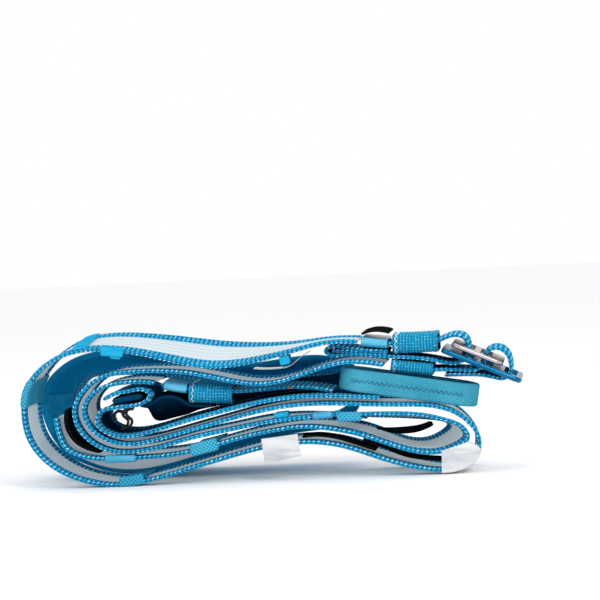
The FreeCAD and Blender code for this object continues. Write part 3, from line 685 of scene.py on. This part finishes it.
def strap(name, node, path, thick, yarn, formula=None, relief=0.0, depth=None, material=None, span=None,
          **more):
    """A closed strap that stands for a CAD node and keeps its depth."""
    if depth is None:
        low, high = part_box(node)
        depth = (low.y, high.y)
    piece = band(name, material or LOOKS[SLOT_OF[node]], path, span, depth, thick, yarn, formula, relief,
                 **more)
    return stands_for(piece, node)


SLEEVE_ROOM = 0.3 * MM


def sleeve(name, node, path, span, strap_depth, inner_thick, wall, yarn, formula=None, relief=0.0, **more):
    """A hollow tube around a strap."""
    inner_depth = (strap_depth[0] - SLEEVE_ROOM, strap_depth[1] + SLEEVE_ROOM)
    outer_depth = (inner_depth[0] - wall, inner_depth[1] + wall)
    outer, u, v = strap_grid(path, span, outer_depth, inner_thick + 2 * wall, yarn, formula, relief,
                             rounded_ends=False, **more)
    y, w, _, _, _ = outline(outer_depth, inner_thick + 2 * wall, more.get("cell", 0.45 * MM))
    middle = sum(outer_depth) / 2
    narrower = (inner_depth[1] - inner_depth[0]) / (outer_depth[1] - outer_depth[0])
    thinner = inner_thick / (inner_thick + 2 * wall)
    along = np.linspace(span[0], span[1], outer.shape[0])
    inner = path.grid(along, middle + (y - middle) * narrower, w * thinner)
    skin = Skin()
    skin.add_walls(outer, inner, u, v)
    return stands_for(skin.build(name, LOOKS[SLOT_OF[node]]), node)


# ---- camera

CAMERA_AZIMUTH = math.radians(5.45)
CAMERA_ELEVATION = math.radians(2.24)
CAMERA_ROLL = math.radians(2.79)
CAMERA_DISTANCE = 1.351
LOOK_AT = Vector((0.0155, -0.0397, 0.0829))
FLOOR_HALF = 3.0
FLOOR_DROP = 0.2 * MM


def add_camera():
    forward = Vector((-math.sin(CAMERA_AZIMUTH) * math.cos(CAMERA_ELEVATION),
                      math.cos(CAMERA_AZIMUTH) * math.cos(CAMERA_ELEVATION), -math.sin(CAMERA_ELEVATION)))
    level = Vector((math.cos(CAMERA_AZIMUTH), math.sin(CAMERA_AZIMUTH), 0))
    upright = level.cross(forward)
    right = math.cos(CAMERA_ROLL) * level - math.sin(CAMERA_ROLL) * upright
    up = math.sin(CAMERA_ROLL) * level + math.cos(CAMERA_ROLL) * upright
    data = bpy.data.cameras.new("camera")
    data.lens = 176
    data.sensor_width = 36
    data.clip_start = 0.01
    data.clip_end = 100
    camera = add_object("camera", data)
    place = Matrix((right, up, -forward)).transposed().to_4x4()
    place.translation = LOOK_AT - CAMERA_DISTANCE * forward
    camera.matrix_world = place
    bpy.context.scene.camera = camera


def add_light(name, place, target, extent, watts):
    data = bpy.data.lights.new(name, "AREA")
    data.shape = "DISK"
    data.size = extent
    data.energy = watts
    light = add_object(name, data)
    light.location = place
    light.rotation_mode = "QUATERNION"
    light.rotation_quaternion = (Vector(target) - Vector(place)).to_track_quat("-Z", "Y")


def add_studio():
    """Pale floor, white surroundings and three large soft lamps."""
    world = bpy.data.worlds.new("studio")
    world.use_nodes = True
    background = world.node_tree.nodes["Background"]
    background.inputs["Color"].default_value = (1, 1, 1, 1)
    background.inputs["Strength"].default_value = 1.0
    bpy.context.scene.world = world
    middle = (0.0, -0.01, 0.03)
    add_light("key", (0.45, -0.8, 0.6), middle, 0.25, 3.3)
    add_light("fill", (-0.7, -0.8, 0.5), middle, 0.4, 0.8)
    add_light("top", (0.05, 0.1, 0.9), middle, 0.4, 0.9)
    skin = Skin()
    corners = np.array([[(x, y, 0.0) for x in (-FLOOR_HALF, FLOOR_HALF)] for y in (-FLOOR_HALF, FLOOR_HALF)])
    skin.add_grid(corners, np.array([0.0, 1.0]), np.array([0.0, 1.0]), wrap=False)
    look = Finish("floor", 0.9)
    tone = look.noise(3.0, 2.0)
    floor = skin.build("floor", look.finish(look.mix(tone, (0.93, 0.93, 0.93, 1), (0.96, 0.96, 0.96, 1))))
    floor.location.z = -FLOOR_DROP
    floor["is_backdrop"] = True
    bpy.context.scene.view_settings.view_transform = "Standard"


# ---- belts

BRAID_YARN = (2.2 * MM, 1.15 * MM)
RIB_YARN = (1.6 * MM, 1.25 * MM)
CLOTH_YARN = (1.0 * MM, 1.0 * MM)
ROW_GAP = 5.4 * MM
DOT_GAP = 1.3 * MM
BRAID_RELIEF = 0.22 * MM
PANEL_TUCK = 0.8 * MM
HEM_WIDTH = 3.2 * MM
HEM_THICK = 2.3 * MM
HEM_OFFSET = -0.3 * MM


def add_belt(prefix, path, floor=None, lining=None):
    """Two braided bands with a mesh panel, or a lining, sewn between them."""
    for part in ("front", "rear"):
        node = f"{prefix}_edge_{part}"
        strap(f"{prefix}_braid_{part}", node, path, BAND_THICK, BRAID_YARN, braid, BRAID_RELIEF,
              floor=floor)
    node = prefix + "_panel"
    low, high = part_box(node)
    depth = (low.y - PANEL_TUCK, high.y + PANEL_TUCK)
    if lining:
        strap(prefix + "_lining", node, path, PANEL_THICK, RIB_YARN, ribs, 0.1 * MM, depth=depth,
              material=lining, step=0.9 * MM)
        return
    panel = strap(prefix + "_mesh", node, path, PANEL_THICK, (DOT_GAP, ROW_GAP), depth=depth,
                  cell=0.6 * MM, step=0.8 * MM, floor=floor, wave=0.12 * MM)


add_belt("waist_belt", route["waist"], floor=REST_Z)
add_belt("leg_loop", route["leg"])
# The inner loop's lining takes the dark navy look, whose darkness is painted shade.
add_belt("inner_loop", route["inner"], lining=SHADED_NAVY)

rear_path = route["rear_loop"]
strap("rear_loop_ribs", "rear_loop_webbing", rear_path, WEBBING_THICK, RIB_YARN, ribs, 0.3 * MM,
      cell=0.3 * MM, step=1.0 * MM)
strap("rear_loop_braid", "rear_loop_edge", rear_path, BAND_THICK, BRAID_YARN, braid, BRAID_RELIEF)
rear_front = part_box("rear_loop_webbing")[0].y
inner_face = (WEBBING_THICK + PATCH_THICK) / 2 + SEAM_GAP
lumbar_span = (rear_path.near(-98, 9.6, rear_front), rear_path.near(-40, 8.6, rear_front))
lumbar = strap("lumbar_grey_mesh", "lumbar_mesh", rear_path, 0.6 * MM, (DOT_GAP, ROW_GAP / 2),
               span=lumbar_span, offset=inner_face, step=0.8 * MM)
hem = band("rear_loop_hem", LOOKS["smooth_patch"], rear_path, None, (rear_front, rear_front + HEM_WIDTH),
           HEM_THICK, CLOTH_YARN, offset=HEM_OFFSET)
goes_with(hem, "lining_patch")
strap("lining_tape", "lining_patch", rear_path, PATCH_THICK, CLOTH_YARN,
      span=(rear_path.near(-112.6, 41, rear_front), rear_path.near(-108, 19, rear_front)),
      offset=inner_face, wave=0.15 * MM)
# These lining pieces take the dark navy look: painted shade.
strap("shaded_lining_strap", "lining_strap", route["lining_strap"], 1.1 * MM, RIB_YARN, ribs, 0.1 * MM,
      material=SHADED_NAVY)
strap("shaded_fold_lining", "fold_lining", route["fold_lining"], 3.0 * MM, RIB_YARN, ribs, 0.25 * MM,
      material=SHADED_NAVY, step=0.3 * MM)


# ---- straps

STRAP_YARN = (2.2 * MM, 1.25 * MM)
strap_low, strap_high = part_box("leg_strap")
STRAP_DEPTH = (strap_low.y, strap_high.y)
for node in ("leg_strap", "buckle_strap", "adjuster_strap"):
    strap(node + "_braid", node, route[node], STRAP_THICK, STRAP_YARN, braid, BRAID_RELIEF)

for node, thick in (("lower_riser", 1.3), ("upper_riser", 1.3), ("cross_strap_front", 1.3),
                    ("cross_strap_rear", 1.3), ("tucked_tail", 1.2)):
    strap(node + "_webbing", node, route[node], thick * MM, (0.9 * MM, 0.9 * MM), plain, 0.1 * MM,
          **FINE)

strap("gear_elastic_braid", "gear_elastic", route["gear_elastic"], 2.2 * MM, (1.5 * MM, 0.9 * MM), braid,
      0.2 * MM, **FINE)
strap("edge_film_strip", "edge_film", route["film"], 0.4 * MM, (2 * MM, 2 * MM), cell=0.2 * MM)

# The folded tail of the buckle strap is sewn together: its core fills the fold.
CORE_INSET = 0.4 * MM
tail_core = band("sewn_tail_core", LOOKS["edge_webbing"],
                 Route([(28.5, 58.3), (35, 57.8), (46, 56.6), (54, 55.8)]), None,
                 (STRAP_DEPTH[0] + CORE_INSET, STRAP_DEPTH[1] - CORE_INSET), 1.7 * MM, STRAP_YARN, braid,
                 BRAID_RELIEF)
goes_with(tail_core, "buckle_strap")


# ---- sleeves and keepers

def span_on(path, first, last):
    return (path.near(*first), path.near(*last))


SLEEVE_YARN = (1.5 * MM, 1.5 * MM)
for node, path_name, first, last in (("waist_sleeve", "buckle_strap", (42.3, 62), (54.3, 60.6)),
                                     ("inner_sleeve", "leg_strap", (-50.5, 46), (-40, 43.8))):
    sleeve(node + "_tube", node, route[path_name], span_on(route[path_name], first, last), STRAP_DEPTH,
           2.4 * MM, 1.0 * MM, SLEEVE_YARN)

for node, path_name, first, last in (("lower_sleeve", "leg", (-79, 13), (-65, 13)),
                                     ("upper_sleeve", "leg", (27.5, 29.4), (19, 29.1))):
    path = route[path_name]
    low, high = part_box(node)
    sleeve(node + "_tube", node, path, span_on(path, first, last), (low.y + 1.0 * MM, high.y - 0.4 * MM),
           2.0 * MM, 0.7 * MM, SLEEVE_YARN)

KEEPER_YARN = (1.4 * MM, 0.75 * MM)
# Each keeper's start and stop along its route, the straps inside it, the room on each side of them,
# its wall, and its outer thickness where the seams are.
KEEPERS = (("waist_keeper", 0.6, 21.4, 1.6, 2.2, 1.2, 8.4), ("leg_keeper", 3.0, 23.0, 1.6, 2.6, 1.2, 9.2),
           ("rear_keeper", 7.5, 27.0, 1.8, 0.9, 0.96, 5.5))
for node, start, stop, base, room, wall, _ in KEEPERS:
    sleeve(node + "_elastic", node, route[node], (start * MM, stop * MM), STRAP_DEPTH,
           (base + 2 * room) * MM, wall * MM, KEEPER_YARN, braid, 0.3 * MM, cell=0.25 * MM, step=0.3 * MM)


SEAM_SWING = 0.45 * MM
SEAM_RADIUS = 0.28 * MM
SEAM_STITCHES = 52


def add_seam(name, node, path, at, depth, thick, material):
    """A zigzag of thread sewn round a sleeve or keeper at one place along it."""
    y, w, _, _, round_it = outline(depth, thick, 0.2 * MM)
    around = np.linspace(0, round_it[-1], SEAM_STITCHES + 1)
    y_at = np.interp(around, round_it, np.append(y, y[0]))
    w_at = np.interp(around, round_it, np.append(w, w[0]))
    zigzag = []
    for index in range(SEAM_STITCHES + 1):
        along = at + (SEAM_SWING if index % 2 else -SEAM_SWING)
        zigzag.append(path.grid(np.array([along]), y_at[index:index + 1], w_at[index:index + 1])[0, 0])
    skin = Skin()
    skin.add_thread(zigzag, SEAM_RADIUS)
    goes_with(skin.build(name, material), node)


for node, start, stop, _, _, _, thick in KEEPERS:
    keeper_low, keeper_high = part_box(node)
    for part, at in (("start", start + 1.6), ("end", stop - 1.2)):
        add_seam(f"{node}_seam_{part}", node, route[node], at * MM, (keeper_low.y, keeper_high.y),
                 thick * MM, PALE_THREAD if part == "start" else THREAD)


# ---- patches and tabs

PATCH_YARN = (1.9 * MM, 1.9 * MM)
TAB_CORNER = 0.8


def belt_offset(side, thick):
    return side * (BAND_THICK / 2 + thick / 2 + SEAM_GAP)


def add_patch(node, path_name, first, last, wrap_thick, wrap_offset):
    """A crosshatched strip across the belt, folded round the front edges of the layers it joins."""
    path = route[path_name]
    span = span_on(path, first, last)
    low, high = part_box(node)
    skin = Skin()
    skin.add_tube(*strap_grid(path, span, (low.y, high.y), PATCH_THICK, PATCH_YARN, lattice, 0.2 * MM,
                              offset=belt_offset(1, PATCH_THICK), cell=0.35 * MM, step=0.35 * MM))
    skin.add_tube(*strap_grid(path, span, (FRONT - 0.7 * MM, FRONT + 4 * MM), wrap_thick * MM, PATCH_YARN,
                              lattice, 0.3 * MM, offset=wrap_offset * MM, **FINE,
                              corner=1.0 * MM, floor=REST_Z))
    stands_for(skin.build(node + "_crosshatch", LOOKS["patch"]), node)


add_patch("patch_side", "waist", (-111, 50), (-114.5, 38.5), 2.6, 0.2)
add_patch("patch_bottom", "waist", (-73, 1), (-61, 2), 4.6, 1.4)
add_patch("patch_lower_leg", "leg", (-38.5, 15), (-26, 17.5), 5.6, 0.4)
add_patch("patch_upper_leg", "leg", (41, 29.3), (30, 29.4), 4.2, 1.2)


# The ring tab's tape is folded round the belt's front edge.
ring_fold = band("tab_ring_fold", LOOKS["smooth_patch"], route["waist"],
                 span_on(route["waist"], (-68, 62.6), (-78.5, 63.9)), (FRONT - 0.6 * MM, FRONT + 3 * MM),
                 4.4 * MM, CLOTH_YARN, offset=0.7 * MM, **FINE, corner=0.9 * MM)
goes_with(ring_fold, "tab_ring")


def add_tab(node, path_name, first, last, thick, side, taller=0.0):
    """A smooth folded tape sewn to the face of a belt."""
    path = route[path_name]
    low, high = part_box(node)
    grown = thick + taller
    tab = band(node + "_tape", LOOKS["smooth_patch"], path, span_on(path, first, last), (low.y, high.y),
               grown * MM, CLOTH_YARN, offset=belt_offset(side, grown * MM), **FINE,
               corner=min(TAB_CORNER, grown / 2) * MM)
    stands_for(tab, node)


add_tab("tab_shoulder", "waist", (-85.5, 63.8), (-92.5, 63), 0.7, -1)
add_tab("tab_ring", "waist", (-69, 62.8), (-74, 63.6), 2.6, 1, 0.6)
add_tab("tab_top", "waist", (8.5, 58.8), (4, 57.6), 3.0, 1, 1.2)
add_tab("tab_middle", "leg", (7.5, 28.4), (1, 27.6), 2.2, -1, 0.4)
add_tab("tab_wrap", "leg", (17.6, 29), (14.6, 28.8), 0.9, 1)
add_tab("tab_tack", "leg", (31.5, 29.4), (28.8, 29.4), 1.1, -1)


# ---- labels

LABEL_YARN = (1.3 * MM, 4 * MM)
LABEL_THICK = 0.35 * MM


def sheet_shares(rows, columns):
    """For each point of a sheet's grid, its share of the way down and of the way across."""
    return np.meshgrid(np.linspace(0, 1, rows), np.linspace(0, 1, columns), indexing="ij")


def add_cloth(name, node, front, thick, flat, material=None, placed=stands_for):
    """A thin crumpled cloth: its front face is given, and its rear face stands behind it."""
    rear = front + np.array((0.0, thick, 0.0))
    rows, columns = front.shape[:2]
    u = np.linspace(0, flat[0], columns) / LABEL_YARN[0]
    v = np.linspace(0, flat[1], rows) / LABEL_YARN[1]
    ring = np.concatenate([front, rear[:, ::-1]], axis=1)
    skin = Skin()
    first = skin.add_grid(ring, v, np.concatenate([u, u[::-1], u[:1]]))
    skin.add_rim(first, 2 * columns, (v[0], u[0]), False)
    skin.add_rim(first + (rows - 1) * 2 * columns, 2 * columns, (v[-1], u[0]), True)
    piece = placed(skin.build(name, material or LOOKS["label"]), node)


def crumple(s, t, depth):
    """Soft folds of a sewn label: s runs across it and t down it."""
    broad = np.sin(s * 9.5 + t * 2.2) * 0.5 + np.sin(s * 4.1 - t * 3.0 + 1.0) * 0.5
    sharp = 1 - np.abs(np.sin(s * 6.3 + t * 4.5 + 0.4))
    return depth * (broad * 0.6 + sharp * 0.8)


# Navy cloth that stands behind the keeper and fills the fold's inside, which lies in shadow; its dark colour
# is painted shade: x, y, its lower edge and its upper edge.
SHADE_CLOTH = [
    (-64, -21, 35.2, 36.6), (-60, -21, 34.4, 37.5), (-57, -20.5, 33.5, 39.3), (-54, -18, 32.5, 41.5),
    (-49, -8, 32.5, 42.8), (-44, 1, 31.5, 43), (-22, 1.5, 33.5, 43), (0, 1.5, 37, 43.8), (20, 1.5, 38.4, 45),
    (31, 1.5, 39, 46)]


def add_shade_cloth():
    x, y, bottom, top = np.array(SHADE_CLOTH).T * MM
    along = np.linspace(x[0], x[-1], 240)
    t, s = sheet_shares(24, 240)
    height = np.interp(along, x, top) * (1 - t) + np.interp(along, x, bottom) * t
    depth = np.interp(along, x, y) + np.sin(s * 40 + t * 3) * 0.4 * MM
    front = np.stack([np.broadcast_to(along, t.shape), depth, height], axis=-1)
    add_cloth("painted_shade_cloth", "lining_strap", front, 0.5 * MM, (105 * MM, 10 * MM),
              SHADED_NAVY, goes_with)


def add_front_label():
    low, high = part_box("care_label_front")
    t, s = sheet_shares(36, 52)
    wide = high.x - low.x
    tall = high.z - low.z
    x = low.x + s * wide + t * 1.2 * MM - (1 - s) * 0.3 * MM
    z = high.z - (1 - s) * 1.6 * MM - t * (tall - 1.2 * MM) - np.sin(s * 5.0) * t * 0.5 * MM
    hang = np.sin(np.clip(t * 1.1, 0, 1) * math.pi / 2)
    y = high.y - 0.6 * MM - hang * 1.2 * MM - crumple(s, t, 0.7 * MM) * (0.3 + 0.7 * t)
    add_cloth("front_label_satin", "care_label_front", np.stack([x, y, z], axis=-1), LABEL_THICK,
              (wide, tall))


SIDE_POINTS = 60


def add_side_label():
    path = route["waist"]
    low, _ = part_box("care_label_side")
    span = span_on(path, (77, 2), (94.2, 11))
    along = np.linspace(span[0], span[1], SIDE_POINTS)
    offset = -(BAND_THICK / 2 + 0.25 * MM + SEAM_GAP)
    foot = path.grid(along, np.array([FRONT]), np.full((SIDE_POINTS, 1), offset))[:, 0]
    share = np.linspace(0, 1, SIDE_POINTS)
    top_share = (0.0, 0.5, 0.78, 1.0)
    top_x = np.interp(share, top_share, np.array((77.5, 85.5, 90.5, 93.8)) * MM)
    top_z = np.interp(share, top_share, np.array((10.8, 13.0, 14.8, 12.9)) * MM)
    t, s = sheet_shares(34, SIDE_POINTS)
    x = foot[:, 0] * (1 - t) + top_x * t
    z = np.maximum(foot[:, 2] * (1 - t) + top_z * t, REST_Z)
    y = low.y - crumple(s * 1.3, t, 0.5 * MM) * np.sin(np.clip(t * 1.4 + 0.15, 0, 1) * math.pi / 2)
    add_cloth("side_label_flap", "care_label_side", np.stack([x, y, z], axis=-1), LABEL_THICK,
              (19 * MM, 12 * MM))
    strip = band("side_label_strip", LOOKS["label"], path, span, (low.y, FRONT + 24 * MM), 0.4 * MM,
                 (1.3 * MM, 8 * MM), offset=offset, floor=REST_Z)
    goes_with(strip, "care_label_side")


add_shade_cloth()
add_front_label()
add_side_label()


# ---- belay loop

LOOP_WIDTH = 10.6 * MM
LOOP_LENGTH = 65 * MM
LOOP_YARN = 1.25 * MM
LOOP_EDGE = 1.3 * MM


def add_belay_loop():
    """A closed ring of thick webbing, tilted in the picture's plane, with a zigzag of stitches."""
    low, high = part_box("belay_loop")
    tilt = math.radians(10)
    cos, sin = math.cos(tilt), math.sin(tilt)
    depth = high.y - low.y
    corner = Vector((low.x, low.y, high.z - LOOP_WIDTH * cos))
    half_long, half_deep = LOOP_LENGTH / 2 - LOOP_EDGE, depth / 2 - LOOP_EDGE
    bend = 0.96 * half_deep
    path = []
    for centre_x, centre_y, start in ((1, 1, 0.0), (-1, 1, 90.0), (-1, -1, 180.0), (1, -1, 270.0)):
        for angle in np.radians(np.linspace(start, start + 90, 40)):
            path.append((centre_x * (half_long - bend) + bend * math.cos(angle),
                         centre_y * (half_deep - bend) + bend * math.sin(angle)))
    path = np.array(path + path[:1])
    gaps = np.linalg.norm(np.diff(path, axis=0), axis=1)
    along = np.concatenate([[0], np.cumsum(gaps)])
    rows = int(along[-1] / (0.4 * MM))
    at = np.linspace(0, along[-1], rows + 1)
    centre = np.stack([np.interp(at, along, path[:, k]) for k in (0, 1)], axis=1)
    run = np.gradient(centre, axis=0)
    run[0] = run[-1] = run[0] + run[-1]
    run /= np.linalg.norm(run, axis=1)[:, None]
    out = np.stack([run[:, 1], -run[:, 0]], axis=1)
    y, w, out_y, out_w, round_it = outline((-LOOP_WIDTH / 2, LOOP_WIDTH / 2), 2.4 * MM, 0.3 * MM)
    u = at / along[-1] * round(along[-1] / LOOP_YARN)
    v = round_it / round_it[-1] * 2 * round(round_it[-1] / (2 * LOOP_YARN))
    lift = (twill(u[:, None], v[None, :-1]) - 0.5) * 0.15 * MM
    across = y[None, :] + lift * out_y
    outward = w[None, :] + lift * out_w
    local = np.stack([centre[:, None, 0] + out[:, None, 0] * outward + LOOP_LENGTH / 2,
                      centre[:, None, 1] + out[:, None, 1] * outward + depth / 2,
                      across + LOOP_WIDTH / 2], axis=-1)
    turned = np.stack([local[..., 0] * cos + local[..., 2] * sin, local[..., 1],
                       local[..., 2] * cos - local[..., 0] * sin], axis=-1)
    grid = turned + np.array(corner)
    skin = Skin()
    columns = grid.shape[1]
    first = skin.add_points(grid[:-1])
    for i in range(rows):
        for j in range(columns):
            after, below = (j + 1) % columns, (i + 1) % rows
            skin.add_face([first + i * columns + j, first + below * columns + j,
                           first + below * columns + after, first + i * columns + after],
                          [(u[i], v[j]), (u[i + 1], v[j]), (u[i + 1], v[j + 1]), (u[i], v[j + 1])])
    stands_for(skin.build("belay_loop_twill", LOOKS["loop_webbing"]), "belay_loop")
    zigzag = []
    for index in range(47):
        along = (5.5 + index * 1.15) * MM
        up = LOOP_WIDTH / 2 + (0.75 * MM if index % 2 else -0.75 * MM)
        zigzag.append((corner.x + along * cos + up * sin, low.y - 0.02 * MM,
                       corner.z + up * cos - along * sin))
    stitches = Skin()
    stitches.add_thread(zigzag, 0.22 * MM)
    goes_with(stitches.build("belay_loop_stitches", DARK_THREAD), "belay_loop")


add_belay_loop()


# ---- riser hook

HOOK_BEND = [(-67.3, 35), (-69.6, 34.7), (-71, 33.2), (-70.2, 31.2), (-68.6, 29.6), (-69, 27.6),
             (-70.8, 26.2), (-72.2, 25.6)]
HOOK_BAR = [(-68.6, 34.8), (-67.5, 34.9), (-66.4, 34.9)]
HOOK_FOOT = [(-73.3, 25.8), (-72.2, 25.6), (-71.1, 25.5)]
HOOK_PRONG = [(-70.6, 32.4), (-72.4, 33.8), (-74.2, 34.0), (-75.5, 33.0), (-75.8, 31.2), (-74.9, 29.8)]


def add_hook():
    """A moulded S-shaped hook with a slot along it, and a blunt prong beside it."""
    low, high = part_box("riser_hook")
    depth = (low.y - 0.3 * MM, high.y + 0.3 * MM)
    rods = [(1.1, [(x + shift, z) for x, z in HOOK_BEND]) for shift in (-0.9, 0.9)]
    rods += [(1.6, HOOK_BAR), (1.1, HOOK_FOOT), (1.4, HOOK_PRONG)]
    skin = Skin()
    for thick, points in rods:
        skin.add_tube(*strap_grid(Route(points), None, depth, thick * MM, CLOTH_YARN, **FINEST))
    stands_for(skin.build("hook_moulding", LOOKS["hook_plastic"]), "riser_hook")


add_hook()


# ---- metal and plastic

for node in ("buckle_frame", "buckle_slider", "wear_thread"):
    part = frame["nodes"][node]
    part.data.materials.clear()
    part.data.materials.append(LOOKS[SLOT_OF[node]])

add_camera()
add_studio()

low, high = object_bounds()
